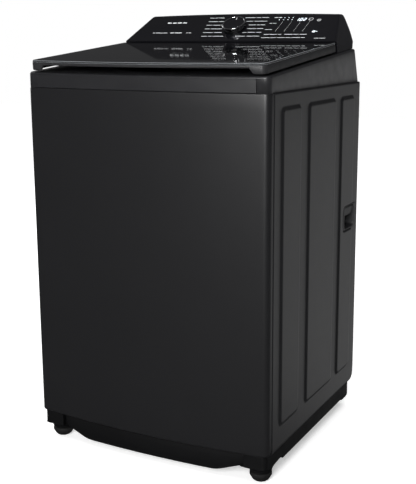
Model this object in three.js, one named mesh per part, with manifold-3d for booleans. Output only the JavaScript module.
// Top load washing machine, as separate pieces.
// Millimetres, +Z up, front towards -Y. The origin is on the floor, under the middle of the machine.
import * as THREE from 'three';
import { mergeVertices } from 'three/addons/utils/BufferGeometryUtils.js';
import Module from 'manifold-3d';

// ---- driving dimensions ----
const GAP = 0.3; // clearance between touching pieces
const HALF_WIDTH = 320; // side panels, without their raised panels
const EMBOSS = 2.5; // height of the raised panels on the sides
const FRONT_Y = -306; // middle of the bowed front
const BACK_Y = 288; // rear corner of the side panels
const REAR_LIMIT = 306; // end of the water inlets
const BOW_RADIUS = 2576; // front panel, seen from above
const CORNER_R = 16;
const WRAP_BACK = -266; // where the front panel's wrapped edge meets the side panel
const CABINET_BOTTOM = 75;
const CABINET_TOP = 900;
const SHEET = 1.2;
const BASE_BOTTOM = 33;
const BASE_INSET = 6;
const BASE_BACK = 276;

const DECK_FRONT_Z = 935; // top cover's upper edge at DECK_FRONT_Y
const DECK_FRONT_Y = -294;
const DECK_SLOPE = 0.0943;
const DECK_BACK_Y = 250;
const TRIM_TOP = 930;
const COVER_WALL = 3;
const MOUTH_TOP_R = 232;
const MOUTH_BOTTOM_R = 215;
const MOUTH_BOTTOM_Z = 884;
const MOUTH_BACK_Y = 118; // flat rear wall of the loading mouth
const MOUTH_CORNER_R = 30;

const LID_HALF_WIDTH = 310;
const LID_TOP_BACK = [124, 1002.5]; // y, z of the lid's upper rear edge
const LID_LENGTH = 430;
const LID_GLASS = 5;
const LID_SHEET = 3.5;
const LID_SKIRT = 24;
const LID_LIP = 11.5; // depth of the lid's front edge above the finger gap
const PIN_BACK = 8; // hinge pin, measured from the lid's rear edge
const PIN_DROP = 17; // hinge pin, below the lid's top face
const PIN_R = 3;
const PIN_HOLE_R = 3.25;
const LUG_X = 262;
const LUG_WIDTH = 10;

const FACE_FOOT = [128, 1004]; // y, z of a point on the console face's plane, its frame's origin
const FACE_ANGLE = THREE.MathUtils.degToRad(32.8);
const CONSOLE_NOSE = 4.8; // where the face starts, measured up its slope
const CONSOLE_TOP = 1078;
const PANEL_FOOT = 7.5; // lower edge of the fascia, up the slope
const PANEL_THICK = 3;
const DIAL_X = 3;
const DIAL_UP = 67; // along the face from its lower edge
const DIAL_R = 32;
const DIAL_HEIGHT = 17;

const TUB_R = 268;
const TUB_BOTTOM = 268;
const TUB_TOP = 862;
const TUB_WALL = 3;
const BASKET_R = 246;
const BASKET_BOTTOM = 292;
const BASKET_TOP = 800;
const BASKET_WALL = 1.2;
const BALANCE_INNER_R = 208;
const BALANCE_TOP = 856;
const PULSATOR_R = 176;
const PULSATOR_Z = 306;

const ROD_X = 258;
const ROD_Y = 228;
const ROD_R = 4;
const BRACKET_Z = 880;
const SPRING_BOTTOM = 226;
const LUG_Z = 300; // underside of the tub's suspension lugs

const PULLEY_R = 105;
const MOTOR_PULLEY_R = 26;
const PULLEY_Z = 103;
const PULLEY_WIDTH = 14;
const MOTOR_X = 150;
const MOTOR_Y = -117;
const BELT_THICK = 4;

const FRONT_FOOT = [284, -245];
const REAR_FOOT = [238, 238];

// ---- materials ----
const BODY = { color: 0x2e2e30, roughness: 0.38, metalness: 0.35 };
const BLACK = { color: 0x17171a, roughness: 0.5, metalness: 0 };
const GLOSS = { color: 0x0c0c0e, roughness: 0.08, metalness: 0 };
const CHROME = { color: 0xd8d8dc, roughness: 0.15, metalness: 1 };
const STEEL = { color: 0xb4b6b8, roughness: 0.3, metalness: 0.9 };
const ZINC = { color: 0x9a9da0, roughness: 0.45, metalness: 0.8 };
const CAST = { color: 0x8d8f92, roughness: 0.5, metalness: 0.7 };
const GREY = { color: 0x8f9297, roughness: 0.55, metalness: 0 };
const WHITE = { color: 0xd7d9db, roughness: 0.5, metalness: 0 };
const RUBBER = { color: 0x141414, roughness: 0.9, metalness: 0 };
const BOARD = { color: 0x1f5a3a, roughness: 0.6, metalness: 0 };

// ---- solids ----
const wasm = await Module();
wasm.setup();

const part = new THREE.Group();

/** Merges shared vertices, drops flat triangles and turns the faces outwards. */
function tidy(source) {
  const bare = source.clone();
  bare.deleteAttribute('normal');
  bare.deleteAttribute('uv');
  const merged = mergeVertices(bare, 1e-3);
  const position = merged.attributes.position;
  const corners = [0, 1, 2].map(() => new THREE.Vector3());
  const kept = [];
  let volume = 0;
  for (let i = 0; i < merged.index.count; i += 3) {
    const ids = [0, 1, 2].map((k) => merged.index.getX(i + k));
    if (new Set(ids).size < 3) continue;
    corners.forEach((corner, k) => corner.fromBufferAttribute(position, ids[k]));
    volume += corners[0].dot(corners[1].clone().cross(corners[2]));
    kept.push(...ids);
  }
  if (volume < 0) kept.reverse();
  const result = new THREE.BufferGeometry();
  result.setAttribute('position', position.clone());
  result.setIndex(kept);
  return result;
}

function toSolid(geometry) {
  const clean = tidy(geometry);
  return new wasm.Manifold(new wasm.Mesh({
    numProp: 3,
    vertProperties: new Float32Array(clean.attributes.position.array),
    triVerts: new Uint32Array(clean.index.array),
  }));
}

function fromSolid(solid) {
  const mesh = solid.getMesh();
  const geometry = new THREE.BufferGeometry();
  geometry.setAttribute('position', new THREE.BufferAttribute(mesh.vertProperties, 3));
  geometry.setIndex(new THREE.BufferAttribute(mesh.triVerts, 1));
  return geometry;
}

function cut(body, ...tools) {
  return fromSolid(tools.reduce((solid, tool) => solid.subtract(toSolid(tool)), toSolid(body)));
}

function join(body, ...others) {
  return fromSolid(others.reduce((solid, other) => solid.add(toSolid(other)), toSolid(body)));
}

function overlap(body, other) {
  return fromSolid(toSolid(body).intersect(toSolid(other)));
}

// ---- shape helpers ----
function outline(points) {
  return new THREE.Shape(points.map(([x, y]) => new THREE.Vector2(x, y)));
}

/** Extrudes a plan shape from z0 up to z1. */
function prism(shape, z0, z1, curveSegments = 8) {
  const geometry = new THREE.ExtrudeGeometry(shape, { depth: z1 - z0, bevelEnabled: false, curveSegments });
  return geometry.translate(0, 0, z0);
}

/** Extrudes a shape drawn in (y, z) from x0 to x1. */
function prismX(shape, x0, x1, curveSegments = 8) {
  const turn = new THREE.Matrix4().set(0, 0, 1, 0, 1, 0, 0, 0, 0, 1, 0, 0, 0, 0, 0, 1);
  return prism(shape, x0, x1, curveSegments).applyMatrix4(turn);
}

/** Extrudes a shape drawn in (x, z) from y0 to y1. */
function prismY(shape, y0, y1, curveSegments = 8) {
  return prism(shape, -y1, -y0, curveSegments).rotateX(Math.PI / 2);
}

function block(x0, x1, y0, y1, z0, z1) {
  const geometry = new THREE.BoxGeometry(x1 - x0, y1 - y0, z1 - z0);
  return geometry.translate((x0 + x1) / 2, (y0 + y1) / 2, (z0 + z1) / 2);
}

function roundedRect(x0, x1, y0, y1, r) {
  const shape = new THREE.Shape();
  shape.moveTo(x0 + r, y0);
  shape.absarc(x1 - r, y0 + r, r, -Math.PI / 2, 0, false);
  shape.absarc(x1 - r, y1 - r, r, 0, Math.PI / 2, false);
  shape.absarc(x0 + r, y1 - r, r, Math.PI / 2, Math.PI, false);
  shape.absarc(x0 + r, y0 + r, r, Math.PI, 1.5 * Math.PI, false);
  return shape;
}

/** Turns a closed (radius, z) profile about the Z axis. */
function turned(profile, segments = 32) {
  const points = profile.map(([r, z]) => new THREE.Vector2(r, z));
  const closed = profile[0][0] > 0 ? [...points, points[0]] : points;
  return new THREE.LatheGeometry(closed, segments).rotateX(Math.PI / 2);
}

function rod(r, z0, z1, segments = 24) {
  return turned([[0, z0], [r, z0], [r, z1], [0, z1]], segments);
}

function ring(inner, outer, z0, z1, segments = 32) {
  return turned([[inner, z0], [outer, z0], [outer, z1], [inner, z1]], segments);
}

/** Skins rings of equally many points into one closed body. */
function loft(rings) {
  const count = rings[0].length;
  const positions = rings.flat(2);
  const faces = [];
  for (let level = 0; level + 1 < rings.length; level += 1) {
    for (let i = 0; i < count; i += 1) {
      const a = level * count + i;
      const b = level * count + ((i + 1) % count);
      faces.push(a, b, b + count, a, b + count, a + count);
    }
  }
  const flat = rings[0].map(([x, y]) => new THREE.Vector2(x, y));
  const top = (rings.length - 1) * count;
  for (const [a, b, c] of THREE.ShapeUtils.triangulateShape(flat, [])) {
    faces.push(c, b, a, top + a, top + b, top + c);
  }
  const geometry = new THREE.BufferGeometry();
  geometry.setAttribute('position', new THREE.Float32BufferAttribute(positions, 3));
  geometry.setIndex(faces);
  return geometry;
}

function add(name, geometry, look, parent = part) {
  const mesh = new THREE.Mesh(tidy(geometry), new THREE.MeshStandardMaterial(look));
  mesh.name = name;
  parent.add(mesh);
  return mesh;
}

const SIDES = [['left', -1], ['right', 1]];
const CORNERS = [['front_left', -1, -1], ['front_right', 1, -1], ['rear_left', -1, 1], ['rear_right', 1, 1]];

// ---- the bowed front's plan ----
const CORNER_X = HALF_WIDTH - CORNER_R;
const BOW_ANGLE = Math.asin(CORNER_X / (BOW_RADIUS - CORNER_R));
const BOW_CENTRE_Y = FRONT_Y + BOW_RADIUS;
const CORNER_Y = BOW_CENTRE_Y - (BOW_RADIUS - CORNER_R) * Math.cos(BOW_ANGLE);

/** Plan of the machine's front, moved inwards by inset and closed straight across at backY. */
function bowedPlan(inset, backY) {
  const down = 1.5 * Math.PI;
  const shape = new THREE.Shape();
  shape.moveTo(-(HALF_WIDTH - inset), backY);
  shape.lineTo(-(HALF_WIDTH - inset), CORNER_Y);
  shape.absarc(-CORNER_X, CORNER_Y, CORNER_R - inset, Math.PI, down - BOW_ANGLE, false);
  shape.absarc(0, BOW_CENTRE_Y, BOW_RADIUS - inset, down - BOW_ANGLE, down + BOW_ANGLE, false);
  shape.absarc(CORNER_X, CORNER_Y, CORNER_R - inset, down + BOW_ANGLE, 2 * Math.PI, false);
  shape.lineTo(HALF_WIDTH - inset, backY);
  return shape;
}

/** Y of the bowed front's surface at x, moved inwards by inset. */
function bowY(x, inset) {
  return BOW_CENTRE_Y - Math.sqrt((BOW_RADIUS - inset) ** 2 - x * x);
}

/** A strip that follows the bow, between two insets and two x. */
function bowStrip(inset0, inset1, halfWidth, steps = 12) {
  const xs = Array.from({ length: steps + 1 }, (_, i) => halfWidth * ((2 * i) / steps - 1));
  const outer = xs.map((x) => [x, bowY(x, inset0)]);
  const inner = xs.map((x) => [x, bowY(x, inset1)]).reverse();
  return outline([...outer, ...inner]);
}

function deckZ(y) {
  return DECK_FRONT_Z + DECK_SLOPE * (y - DECK_FRONT_Y);
}

// ---- cabinet ----
function frontPanel() {
  const outer = prism(bowedPlan(0, WRAP_BACK), CABINET_BOTTOM, CABINET_TOP, 6);
  const inner = prism(bowedPlan(SHEET, WRAP_BACK + 1), CABINET_BOTTOM - 1, CABINET_TOP + 1, 6);
  return cut(outer, inner);
}

const EMBOSSED_BANDS = [[-230, -118], [-75, 105], [140, 240]];
const EMBOSS_BOTTOM = 130;
const EMBOSS_TOP = 868;
const HANDLE = { y0: 187, y1: 263, z0: 520, z1: 578, front: 21, back: 11, border: 4, depth: 38 };

/** One side sheet with its raised panels and the opening for the carrying handle. */
function sidePanel(s) {
  const sheet = prismX(
    roundedRect(WRAP_BACK + GAP, BACK_Y, CABINET_BOTTOM, CABINET_TOP, 4),
    HALF_WIDTH - SHEET, HALF_WIDTH, 4,
  );
  const raised = EMBOSSED_BANDS.map(([y0, y1]) => prismX(
    roundedRect(y0, y1, EMBOSS_BOTTOM, EMBOSS_TOP, 14), HALF_WIDTH - 0.5, HALF_WIDTH + EMBOSS, 3,
  ));
  const { y0, y1, z0, z1, front, back, border } = HANDLE;
  const [first, second, third] = EMBOSSED_BANDS;
  const hollows = [
    [...first, EMBOSS_BOTTOM, EMBOSS_TOP], [...second, EMBOSS_BOTTOM, EMBOSS_TOP],
    [...third, EMBOSS_BOTTOM, z0 - 30], [...third, z1 + 30, EMBOSS_TOP],
  ].map(([a, b, c, d]) => prismX(
    roundedRect(a + 2, b - 2, c + 2, d - 2, 12), HALF_WIDTH - 3, HALF_WIDTH + EMBOSS - SHEET, 3,
  ));
  const seat = prismX(
    roundedRect(y0 - front - GAP, y1 + back + GAP, z0 - border - GAP, z1 + border + GAP, 14),
    HALF_WIDTH, HALF_WIDTH + 10, 4,
  );
  const room = 3 + GAP;
  const hole = block(HALF_WIDTH - 10, HALF_WIDTH + 10, y0 - room, y1 + room, z0 - room, z1 + room);
  return mirrored(cut(join(sheet, ...raised), ...hollows, seat, hole), s);
}

/** Mirrors a right-hand piece for the left side. */
function mirrored(geometry, s) {
  return s > 0 ? geometry : geometry.clone().scale(-1, 1, 1);
}

/** Cup of the carrying handle, with a bezel on the sheet and a finger hollow behind its grip bar. */
function handleCup(s) {
  const { y0, y1, z0, z1, front, back, border, depth } = HANDLE;
  const bezel = prismX(
    roundedRect(y0 - front, y1 + back, z0 - border, z1 + border, 14),
    HALF_WIDTH + GAP, HALF_WIDTH + EMBOSS, 4,
  );
  const tray = block(HALF_WIDTH - depth, HALF_WIDTH + 1, y0 - 3, y1 + 3, z0 - 3, z1 + 3);
  const hollow = block(HALF_WIDTH - depth + 3, HALF_WIDTH + 10, y0, y1, z0, z1);
  return mirrored(cut(join(bezel, tray), hollow), s);
}

function rearPanel() {
  const sheet = prismY(
    outline([[-317, CABINET_BOTTOM], [317, CABINET_BOTTOM], [317, CABINET_TOP], [-317, CABINET_TOP]]),
    BACK_Y - SHEET - 2, BACK_Y - 2,
  );
  const ribs = [-200, 0, 200].map((x) => prismY(
    roundedRect(x - 70, x + 70, 200, 780, 20), BACK_Y - 2.5, BACK_Y + 2, 3,
  ));
  const cordHole = rod(10, -20, 20, 14).rotateX(Math.PI / 2).translate(250, BACK_Y, 840);
  const drainHole = rod(17.4, -20, 20, 16).rotateX(Math.PI / 2).translate(-240, BACK_Y, 140);
  return cut(join(sheet, ...ribs), cordHole, drainHole);
}

/** Moulded base: a ring with closed corners, foot sockets in the front ones and low heels at the rear. */
function baseFrame() {
  const width = HALF_WIDTH - BASE_INSET;
  const plan = roundedRect(-width, width, -284, BASE_BACK, 14);
  const window = roundedRect(-258, 258, -232, 232, 80);
  plan.holes.push(new THREE.Path(window.getPoints(6).reverse()));
  const body = prism(plan, BASE_BOTTOM, CABINET_BOTTOM - GAP, 5);
  const arches = SIDES.map(([, s]) => block(s * 290 - 50, s * 290 + 50, -300, -185, 0, 40));
  const sockets = SIDES.map(([, s]) => rod(6.5, 0, 70, 14).translate(s * FRONT_FOOT[0], FRONT_FOOT[1], 0));
  const apronSeat = block(-256, 256, -300, -258, 0, 100);
  const heels = SIDES.map(([, s]) => mirrored(
    prism(roundedRect(width - 22, width - 1, BASE_BACK - 46, BASE_BACK - 1, 6), 22, BASE_BOTTOM + 1, 3), s,
  ));
  return cut(join(body, ...heels), ...arches, ...sockets, apronSeat);
}

/** Kick plate under the front, deeper in the middle than at its ends. */
function frontApron() {
  const inset = 18;
  const plate = prism(bowStrip(inset, inset + 3, 254), 0, CABINET_BOTTOM - GAP);
  const flange = prism(bowStrip(inset + 2, inset + 14, 254), CABINET_BOTTOM - GAP - 4, CABINET_BOTTOM - GAP);
  const face = prismY(outline([
    [-254, 39], [-246, 39], [-184, 17], [184, 17], [246, 39], [254, 39], [254, 90], [-254, 90],
  ]), -320, -240);
  return overlap(join(plate, flange), face);
}

function frontFoot() {
  const top = 68;
  return turned([
    [0, 0], [15, 0], [21, 5], [25, 13], [26.5, 15], [26.5, 22], [12, 25], [6, 27], [6, top], [0, top],
  ], 16);
}

function rearFoot() {
  return turned([
    [0, 0], [19, 0], [21, 3], [21, 12], [16, 14], [16, BASE_BOTTOM - GAP], [0, BASE_BOTTOM - GAP],
  ], 16);
}

for (const [name, s] of SIDES) {
  add(`side_panel_${name}`, sidePanel(s), BODY);
  add(`handle_cup_${name}`, handleCup(s), BLACK);
  add(`foot_front_${name}`, frontFoot(), RUBBER).position.set(s * FRONT_FOOT[0], FRONT_FOOT[1], 0);
  add(`foot_rear_${name}`, rearFoot(), RUBBER).position.set(s * REAR_FOOT[0], REAR_FOOT[1], 0);
}
add('front_panel', frontPanel(), BODY);
add('rear_panel', rearPanel(), ZINC);
add('base_frame', baseFrame(), BLACK);
add('front_apron', frontApron(), BLACK);

// ---- top cover ----
/** Points of a circle with a flat rear side, its two corners rounded. */
function mouthRing(radius, backY, cornerR, z) {
  const centreX = Math.sqrt((radius - cornerR) ** 2 - (backY - cornerR) ** 2);
  const meet = Math.atan2(backY - cornerR, centreX);
  const arc = (cx, cy, r, from, to, steps) => Array.from({ length: steps + 1 }, (_, i) => {
    const angle = from + ((to - from) * i) / steps;
    return [cx + r * Math.cos(angle), cy + r * Math.sin(angle), z];
  });
  return [
    ...arc(-centreX, backY - cornerR, cornerR, Math.PI / 2, Math.PI - meet, 4),
    ...arc(0, 0, radius, Math.PI - meet, 2 * Math.PI + meet, 26).slice(1, -1),
    ...arc(centreX, backY - cornerR, cornerR, meet, Math.PI / 2, 4),
  ];
}

function mouthLoft(grow, z0, z1) {
  const taper = (MOUTH_TOP_R - MOUTH_BOTTOM_R) / (DECK_FRONT_Z - MOUTH_BOTTOM_Z);
  const radiusAt = (z) => MOUTH_BOTTOM_R + taper * (Math.min(z, 950) - MOUTH_BOTTOM_Z) + grow;
  const levels = [z0, 950, z1];
  return loft(levels.map((z) => mouthRing(radiusAt(z), MOUTH_BACK_Y + grow, MOUTH_CORNER_R, z)));
}

const lidTilt = Math.atan(DECK_SLOPE);
const pinY = LID_TOP_BACK[0] - PIN_BACK * Math.cos(lidTilt) + PIN_DROP * Math.sin(lidTilt);
const pinZ = LID_TOP_BACK[1] - PIN_BACK * Math.sin(lidTilt) - PIN_DROP * Math.cos(lidTilt);
const VALVE_XS = [['hot', 60], ['cold', 120]];
const VALVE_Z = 925;
const DRAWER = { x0: -150, x1: -30, y0: 122, y1: 225, z0: 905, z1: 945 };

/** Upright lug with a round head for one hinge pin. */
function hingeLug(s) {
  const head = 6.3;
  const shape = new THREE.Shape();
  shape.moveTo(pinY + head, deckZ(pinY) - 2);
  shape.lineTo(pinY + head, pinZ);
  shape.absarc(pinY, pinZ, head, 0, Math.PI, false);
  shape.lineTo(pinY - head, deckZ(pinY) - 2);
  return mirrored(prismX(shape, LUG_X, LUG_X + LUG_WIDTH, 8), s);
}

function pinHole(x0, x1, r = PIN_HOLE_R) {
  return rod(r, x0, x1, 16).rotateY(Math.PI / 2).translate(0, pinY, pinZ);
}

function topCover() {
  const bottom = CABINET_TOP + GAP;
  const section = (inset) => outline([
    [-320, bottom - inset],
    [BACK_Y - inset, bottom - inset],
    [DECK_BACK_Y - inset, deckZ(DECK_BACK_Y) - inset],
    [-320, deckZ(-320) - inset],
  ]);
  const shell = overlap(prism(bowedPlan(1, BACK_Y), 890, 1000, 6), prismX(section(0), -340, 340));
  const room = overlap(
    prism(bowedPlan(1 + COVER_WALL, BACK_Y), 880, 1000, 6),
    prismX(section(COVER_WALL + 0.2), -340, 340),
  );
  const underDeck = prismX(outline([
    [-320, MOUTH_BOTTOM_Z], [200, MOUTH_BOTTOM_Z], [200, deckZ(200)], [-320, deckZ(-320)],
  ]), -300, 300);
  const funnel = overlap(mouthLoft(COVER_WALL, 870, 1010), underDeck);
  const { x0, x1, z0, z1 } = DRAWER;
  const drawerHole = block(x0 - 3, x1 + 3, 100, 130, z0 - 3, z1 + 3);
  const trimSeat = prism(bowStrip(-5, 4, 292), bottom - 1, TRIM_TOP + 0.5);
  const valveHole = rod(13.4, 250, 300, 16).rotateX(-Math.PI / 2).translate(0, 0, VALVE_Z);
  const valveHoles = VALVE_XS.map(([, x]) => valveHole.clone().translate(x, 0, 0));
  const body = join(cut(shell, room), funnel, ...SIDES.map(([, s]) => hingeLug(s)));
  const backing = prism(bowStrip(4, 7, 296), bottom, TRIM_TOP + 1);
  const backed = join(cut(body, trimSeat), backing);
  return cut(backed, mouthLoft(0, 860, 1020), drawerHole, pinHole(-300, 300), ...valveHoles);
}

add('top_cover', topCover(), BODY);
add('top_front_trim', prism(bowStrip(0.5, 3.7, 289), CABINET_TOP + GAP, TRIM_TOP), BLACK);

// ---- console ----
const consoleFace = new THREE.Group();
consoleFace.position.set(0, ...FACE_FOOT);
consoleFace.rotation.x = FACE_ANGLE;
part.add(consoleFace);

/** Moves geometry from the console face's own frame to the machine's. */
function onFace(geometry) {
  consoleFace.updateMatrixWorld();
  return geometry.applyMatrix4(consoleFace.matrixWorld);
}

/** Front view of the console: leaning ends, rounded upper corners and an arched top. */
function consoleFront(inset) {
  const lean = (z) => 310 - 0.42 * (z - 1005) - inset;
  const archHeight = (x) => CONSOLE_TOP - inset - 4 * (x / 272) ** 2;
  const shape = new THREE.Shape();
  shape.moveTo(-lean(1005) - 1, 950);
  shape.lineTo(-lean(1005), 1005);
  shape.lineTo(-lean(1062), 1062);
  shape.quadraticCurveTo(-lean(1074), archHeight(272), -266, archHeight(266));
  for (let x = -228; x <= 228; x += 38) shape.lineTo(x, archHeight(x));
  shape.lineTo(266, archHeight(266));
  shape.quadraticCurveTo(lean(1074), archHeight(272), lean(1062), 1062);
  shape.lineTo(lean(1005), 1005);
  shape.lineTo(lean(1005) + 1, 950);
  return shape;
}

function consoleShell() {
  const faceEnd = (CONSOLE_TOP + 1 - FACE_FOOT[1]) / Math.tan(FACE_ANGLE) + FACE_FOOT[0];
  const nose = [
    FACE_FOOT[0] + CONSOLE_NOSE * Math.cos(FACE_ANGLE), FACE_FOOT[1] + CONSOLE_NOSE * Math.sin(FACE_ANGLE),
  ];
  const outer = outline([
    [137, deckZ(137) + GAP], [137, 998], [nose[0], nose[1] - 2], nose, [faceEnd, CONSOLE_TOP + 1],
    [252, 1076], [258, 1062], [261, 1030], [254, 1007], [DECK_BACK_Y, deckZ(DECK_BACK_Y) + GAP],
  ]);
  const innerRise = (y) => 998.3 + (y - 131.5) * Math.tan(FACE_ANGLE);
  const inner = outline([
    [140, 950], [140, innerRise(140)], [242, innerRise(242)], [248, 1066], [254.5, 1058],
    [257.5, 1031], [250.5, 1008], [246.5, 950],
  ]);
  const body = overlap(prismX(outer, -330, 330), prismY(consoleFront(0), 100, 300, 4));
  const room = overlap(prismX(inner, -330, 330), prismY(consoleFront(3), 100, 300, 4));
  const panelSeat = onFace(prism(panelShape(GAP), -PANEL_THICK - GAP, 20));
  const dialHole = onFace(rod(9, -20, 20).translate(DIAL_X, DIAL_UP, 0));
  const displayHole = onFace(block(105, 235, 40, 112, -30, 10));
  return cut(body, room, panelSeat, dialHole, displayHole);
}

/** Fascia outline in the console face's frame. */
function panelShape(grow) {
  const shape = new THREE.Shape();
  shape.moveTo(-304 - grow, PANEL_FOOT - grow);
  shape.lineTo(304 + grow, PANEL_FOOT - grow);
  shape.lineTo(283 + grow, 105);
  shape.quadraticCurveTo(280 + grow, 119 + grow, 262, 119 + grow);
  shape.lineTo(-262, 119 + grow);
  shape.quadraticCurveTo(-280 - grow, 119 + grow, -283 - grow, 105);
  return shape;
}

function controlPanel() {
  return cut(prism(panelShape(0), -PANEL_THICK, 0, 5), rod(6, -10, 10, 16).translate(DIAL_X, DIAL_UP, 0));
}

function dialKnob() {
  return turned([
    [0, 1], [DIAL_R - 1.5, 1], [DIAL_R - 0.5, 2], [DIAL_R - 1, DIAL_HEIGHT - 3.3],
    [DIAL_R - 4, DIAL_HEIGHT - 3.3], [DIAL_R - 4, DIAL_HEIGHT - 0.8], [0, DIAL_HEIGHT - 0.8],
  ], 30);
}

function dialShaftedKnob() {
  return join(dialKnob(), rod(3, -14, 2, 16));
}

function dialRing() {
  return turned([
    [DIAL_R - 3.6, DIAL_HEIGHT - 3], [DIAL_R - 0.6, DIAL_HEIGHT - 3], [DIAL_R, DIAL_HEIGHT - 1.8],
    [DIAL_R - 0.8, DIAL_HEIGHT - 0.3], [DIAL_R - 2, DIAL_HEIGHT], [DIAL_R - 3.6, DIAL_HEIGHT - 0.8],
  ], 30);
}

function dialEncoder() {
  return cut(rod(8.5, -30, -PANEL_THICK - 2 * GAP, 20), rod(3.4, -16, 0, 16));
}

add('console_shell', consoleShell(), GLOSS);
add('control_panel', controlPanel(), GLOSS, consoleFace);
add('display_module', block(108, 232, 43, 109, -14, -PANEL_THICK - GAP), BLACK, consoleFace);
add('control_board', block(100, 240, 36, 112, -26, -23.6), BOARD, consoleFace);
add('dial_encoder', dialEncoder(), ZINC, consoleFace).position.set(DIAL_X, DIAL_UP, 0);
add('dial_knob', dialShaftedKnob(), GLOSS, consoleFace).position.set(DIAL_X, DIAL_UP, 0);
add('dial_ring', dialRing(), CHROME, consoleFace).position.set(DIAL_X, DIAL_UP, 0);

// ---- lid ----
// Its own frame has the origin on the upper rear edge, z along the glass's normal and -y to the front.
const lid = new THREE.Group();
lid.position.set(0, ...LID_TOP_BACK);
lid.rotation.x = lidTilt;
part.add(lid);

function lidPlan(inset) {
  const w = LID_HALF_WIDTH - inset;
  const r = 14 - inset / 2;
  const bowLength = LID_LENGTH - inset;
  const sagitta = 17;
  const chord = w - r;
  const bowR = (chord * chord + sagitta * sagitta) / (2 * sagitta);
  const angle = Math.asin(chord / bowR);
  const shape = new THREE.Shape();
  shape.moveTo(-w, -inset);
  shape.lineTo(-w, -(bowLength - sagitta - r));
  shape.absarc(-chord, -(bowLength - sagitta - r), r, Math.PI, 1.5 * Math.PI - angle, false);
  shape.absarc(0, bowR - bowLength, bowR, 1.5 * Math.PI - angle, 1.5 * Math.PI + angle, false);
  shape.absarc(chord, -(bowLength - sagitta - r), r, 1.5 * Math.PI + angle, 2 * Math.PI, false);
  shape.lineTo(w, -inset);
  return shape;
}

/** Tray under the glass: a thin sheet, a skirt on its edge, and an ear beside each hinge lug. */
function lidFrame() {
  const top = -LID_GLASS - GAP;
  const slab = prism(lidPlan(0), -LID_SKIRT, top, 6);
  const room = prism(lidPlan(5), -LID_SKIRT - 5, top - LID_SHEET, 6);
  const fingerGap = block(-284, 284, -LID_LENGTH - 10, -LID_LENGTH + 45, -LID_SKIRT - 5, -LID_LIP);
  const lugRoom = SIDES.map(([, s]) => mirrored(
    block(LUG_X - 4, LUG_X + LUG_WIDTH + 4, -24, 10, -LID_SKIRT - 5, top - LID_SHEET - 0.3), s,
  ));
  const ears = SIDES.map(([, s]) => mirrored(
    block(LUG_X + LUG_WIDTH + 4, LUG_X + LUG_WIDTH + 16, -15, -2, -LID_SKIRT + 1, top - 1), s,
  ));
  const bore = rod(PIN_HOLE_R, -300, 300, 16).rotateY(Math.PI / 2).translate(0, -PIN_BACK, -PIN_DROP);
  return cut(join(cut(slab, room, fingerGap, ...lugRoom), ...ears), bore);
}

add('lid_glass', prism(lidPlan(0.5), -LID_GLASS, 0, 6), GLOSS, lid);
add('lid_frame', lidFrame(), BLACK, lid);
for (const [name, s] of SIDES) {
  const pin = rod(PIN_R, LUG_X + 1, LUG_X + LUG_WIDTH + 15, 16).rotateY(Math.PI / 2);
  add(`hinge_pin_${name}`, mirrored(pin, s), STEEL, lid).position.set(0, -PIN_BACK, -PIN_DROP);
}
add('lid_lock', block(240, 300, 20, 80, 930, deckZ(20) - COVER_WALL - 1), BLACK);

// ---- dispenser, water and drain ----
function dispenserBox() {
  const { x0, x1, y0, y1, z0, z1 } = DRAWER;
  const front = MOUTH_BACK_Y + COVER_WALL + 0.6;
  const box = block(x0 - 4.5, x1 + 4.5, front, y1 + 10, z0 - 4.5, z1 + 4.5);
  const slot = block(x0 - 1, x1 + 1, y0 - 10, y1 + 3, z0 - 1, z1 + 1);
  const outlet = block(x0 + 10, x1 - 10, y0 + 6, y0 + 16, z0 - 20, z0);
  return cut(box, slot, outlet);
}

function detergentDrawer() {
  const { x0, x1, y0, y1, z0, z1 } = DRAWER;
  const face = roundedRect(x0 - 8, x1 + 8, z0 - 7, z1 + 7, 6);
  const front = prismY(face, MOUTH_BACK_Y - 5, MOUTH_BACK_Y - GAP, 4);
  const tray = block(x0, x1, MOUTH_BACK_Y - 1, y1, z0, z1 - 4);
  const wide = block(x0 + 2, x0 + 76, y0 + 1, y1 - 2, z0 + 2, z1);
  const narrow = block(x0 + 78, x1 - 2, y0 + 1, y1 - 2, z0 + 2, z1);
  const grip = block(x0 + 25, x1 - 25, MOUTH_BACK_Y - 10, MOUTH_BACK_Y - 3, z0 + 4, z0 + 16);
  return cut(join(front, tray), wide, narrow, grip);
}

/** Electric valve with a threaded hose inlet at the rear. */
function inletValve() {
  const end = REAR_LIMIT;
  return turned([
    [0, 205], [17, 205], [17, 258], [12.6, 258], [12.6, end], [8.5, end], [8.5, 282], [0, 282],
  ], 14).rotateX(-Math.PI / 2).scale(1, 1, -1);
}

function cordGland() {
  return turned([
    [4, -14], [9, -14], [9, 0.3], [16, 0.3], [16, 4], [9, 5], [7, 13], [4, 13],
  ], 12).rotateX(-Math.PI / 2);
}

function drainPort() {
  return turned([
    [12, -24], [16, -24], [16, 0.3], [26, 0.3], [26, 4], [16, 4], [16, 16], [12, 16],
  ], 16).rotateX(-Math.PI / 2);
}

function drainPump() {
  const volute = rod(40, 0, 34, 20);
  const motorCan = rod(24, 33, 72, 16);
  const outlet = rod(13, 0, 54, 12).rotateX(-Math.PI / 2).translate(-22, 0, 18);
  return join(volute, motorCan, outlet);
}

add('dispenser_box', dispenserBox(), GREY);
add('detergent_drawer', detergentDrawer(), GREY);
for (const [name, x] of VALVE_XS) {
  add(`inlet_valve_${name}`, inletValve(), WHITE).position.set(x, 0, VALVE_Z);
}
add('cord_gland', cordGland(), BLACK).position.set(250, BACK_Y - 2, 840);
add('drain_port', drainPort(), BLACK).position.set(-240, BACK_Y - 2, 140);
add('drain_pump', drainPump(), BLACK).position.set(-212, 186, CABINET_BOTTOM + GAP);

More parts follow.
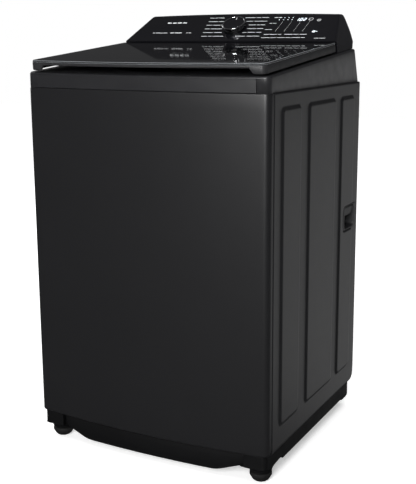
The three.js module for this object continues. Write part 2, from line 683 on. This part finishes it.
// ---- tub and suspension ----
function outerTub() {
  const wall = turned([
    [32, TUB_BOTTOM], [TUB_R - 14, TUB_BOTTOM], [TUB_R, TUB_BOTTOM + 14], [TUB_R, TUB_TOP],
    [TUB_R - TUB_WALL, TUB_TOP], [TUB_R - TUB_WALL, TUB_BOTTOM + 16], [TUB_R - 16, TUB_BOTTOM + 5],
    [32, TUB_BOTTOM + 5],
  ], 36);
  const arms = CORNERS.map(([, sx, sy]) => {
    const reach = Math.hypot(ROD_X, ROD_Y);
    const arm = roundedRect(TUB_R - 2, reach + 18, -20, 20, 12);
    return prism(arm, LUG_Z, LUG_Z + 12, 4).rotateZ(Math.atan2(sy * ROD_Y, sx * ROD_X));
  });
  const hole = rod(ROD_R + 4, 290, 320, 12);
  const holes = CORNERS.map(([, sx, sy]) => hole.clone().translate(sx * ROD_X, sy * ROD_Y, 0));
  return cut(join(wall, ...arms), ...holes);
}

function tubRing() {
  const z = TUB_TOP + GAP;
  return turned([
    [MOUTH_BOTTOM_R - 8, z + 8], [TUB_R - 20, z + 4], [TUB_R - 20, z], [TUB_R + 2, z], [TUB_R + 2, z + 8],
    [TUB_R - 16, z + 12], [MOUTH_BOTTOM_R - 8, z + 14],
  ], 36);
}

/** Triangular plate in an upper corner, which a rod hangs from. */
function suspensionBracket(sx, sy) {
  const wallX = HALF_WIDTH - SHEET - GAP;
  const wallY = sy > 0 ? BACK_Y - SHEET - 2 - GAP : 284;
  const front = sy < 0 ? 16 : 0;
  const points = [
    [wallX - 92, wallY], [wallX - front, wallY], [wallX, wallY - front],
    [wallX, wallY - 92], [wallX - 12, wallY - 92], [wallX - 92, wallY - 18],
  ];
  const plate = prism(outline(points), BRACKET_Z, BRACKET_Z + 4);
  const hole = rod(ROD_R + 2, BRACKET_Z - 5, BRACKET_Z + 9, 12).translate(ROD_X, ROD_Y, 0);
  return cut(plate, hole).scale(sx, sy, 1);
}

function suspensionRod() {
  const seat = BRACKET_Z + 4 + GAP;
  return turned([
    [0, SPRING_BOTTOM - 10], [9, SPRING_BOTTOM - 10], [18, SPRING_BOTTOM - 4], [18, SPRING_BOTTOM - GAP],
    [ROD_R, SPRING_BOTTOM - GAP], [ROD_R, seat], [10, seat], [8, seat + 8], [0, seat + 8],
  ], 12);
}

add('outer_tub', outerTub(), WHITE);
add('tub_ring', tubRing(), WHITE);
for (const [name, sx, sy] of CORNERS) {
  add(`suspension_bracket_${name}`, suspensionBracket(sx, sy), ZINC);
  add(`suspension_rod_${name}`, suspensionRod(), ZINC).position.set(sx * ROD_X, sy * ROD_Y, 0);
  const spring = ring(ROD_R + 2, 15, SPRING_BOTTOM, LUG_Z - GAP, 12);
  add(`suspension_spring_${name}`, spring, STEEL).position.set(sx * ROD_X, sy * ROD_Y, 0);
}

// ---- basket and pulsator ----
function basket() {
  const b = BASKET_BOTTOM;
  return turned([
    [34, b], [BASKET_R - 10, b], [BASKET_R, b + 10], [BASKET_R, BASKET_TOP],
    [BASKET_R - BASKET_WALL, BASKET_TOP], [BASKET_R - BASKET_WALL, b + 12], [BASKET_R - 12, b + 4], [34, b + 4],
  ], 36);
}

function basketHub() {
  return turned([
    [12, TUB_BOTTOM + 1], [26, TUB_BOTTOM + 1], [26, 283], [90, 287], [90, BASKET_BOTTOM - GAP],
    [12, BASKET_BOTTOM - GAP],
  ], 20);
}

function balanceRing() {
  const low = BASKET_TOP + GAP;
  return turned([
    [BALANCE_INNER_R + 6, low], [BASKET_R, low], [BASKET_R, BALANCE_TOP - 6], [BASKET_R - 6, BALANCE_TOP],
    [BALANCE_INNER_R + 8, BALANCE_TOP], [BALANCE_INNER_R, BALANCE_TOP - 10],
  ], 36);
}

/** Washing plate: a shallow dish with a raised middle and curved vanes. */
function pulsator() {
  const z = PULSATOR_Z;
  const dish = turned([
    [10, z], [PULSATOR_R - 6, z], [PULSATOR_R, z + 8], [PULSATOR_R - 6, z + 14], [110, z + 10], [58, z + 18],
    [46, z + 32], [10, z + 32],
  ], 28);
  const blade = outline([
    [50, z + 8], [150, z + 8], [160, z + 12], [120, z + 26], [60, z + 34], [50, z + 30],
  ]);
  const vane = prismY(blade, -7, 7);
  const vanes = [0, 1, 2, 3].map((i) => vane.clone().rotateZ((i * Math.PI) / 2));
  return cut(join(dish, ...vanes), rod(10.4, z - 5, z + 60, 20));
}

function pulsatorCap() {
  const z = PULSATOR_Z + 32 + GAP;
  return turned([[0, z], [40, z], [38, z + 7], [24, z + 12], [0, z + 14]], 24);
}

function lintFilter() {
  const back = BASKET_R - 2 - GAP - 1;
  const arc = (r, halfAngle) => Array.from({ length: 9 }, (_, i) => {
    const angle = Math.PI / 2 + halfAngle * (1 - i / 4);
    return [r * Math.cos(angle), r * Math.sin(angle)];
  });
  const plan = outline([...arc(back, 0.27).reverse(), ...arc(back - 22, 0.22)]);
  return prism(plan, 480, 640);
}

add('basket', basket(), STEEL);
add('basket_hub', basketHub(), CAST);
add('balance_ring', balanceRing(), GREY);
add('lint_filter', lintFilter(), GREY);
add('pulsator', pulsator(), GREY);
add('pulsator_cap', pulsatorCap(), CHROME);
add('output_shaft', rod(9.8, 205, PULSATOR_Z + 30, 20), STEEL);

// ---- drive ----
function gearbox() {
  const top = TUB_BOTTOM - GAP;
  return turned([
    [12, 150], [58, 150], [70, 162], [70, 236], [60, 246], [60, 254], [118, 260], [118, top], [12, top],
  ], 28);
}

function motor() {
  const top = TUB_BOTTOM - GAP;
  return turned([
    [8, 128], [50, 128], [62, 138], [62, 232], [50, 242], [36, 246], [36, top], [0, top], [0, 160], [8, 160],
  ], 20);
}

function vPulley(r, hubR, hubTop, shaftR, shaftTop, segments) {
  const z0 = PULLEY_Z;
  const z1 = PULLEY_Z + PULLEY_WIDTH;
  return turned([
    [0, z0], [r - 2, z0], [r, z0 + 1], [r, z1 - 1], [r - 2, z1], [hubR, z1], [hubR, hubTop], [shaftR, hubTop],
    [shaftR, shaftTop], [0, shaftTop],
  ], segments);
}

function drivePulley() {
  const disc = vPulley(PULLEY_R, 22, 138, 9.8, 195, 32);
  const window = rod(20, 90, 130, 12).translate(62, 0, 0);
  const windows = [0, 1, 2, 3, 4].map((i) => window.clone().rotateZ((i * 2 * Math.PI) / 5));
  return cut(disc, ...windows);
}

/** Outline round both pulleys, a belt's run at the given distance off their rims. */
function beltOutline(off) {
  const distance = Math.hypot(MOTOR_X, MOTOR_Y);
  const big = PULLEY_R + off;
  const small = MOTOR_PULLEY_R + off;
  const lean = Math.acos((big - small) / distance);
  const shape = new THREE.Shape();
  shape.absarc(0, 0, big, lean, 2 * Math.PI - lean, false);
  shape.absarc(distance, 0, small, -lean, lean, false);
  return shape;
}

function driveBelt() {
  const shape = beltOutline(GAP + BELT_THICK);
  shape.holes.push(new THREE.Path(beltOutline(GAP + 0.4).getPoints(12).reverse()));
  return prism(shape, PULLEY_Z + 1, PULLEY_Z + PULLEY_WIDTH - 1, 12).rotateZ(Math.atan2(MOTOR_Y, MOTOR_X));
}

add('gearbox', gearbox(), CAST);
add('motor', motor(), CAST).position.set(MOTOR_X, MOTOR_Y, 0);
add('drive_pulley', drivePulley(), CAST);
add('motor_pulley', vPulley(MOTOR_PULLEY_R, 12, 124, 6, 152, 16), STEEL).position.set(MOTOR_X, MOTOR_Y, 0);
add('drive_belt', driveBelt(), RUBBER);

export default part;
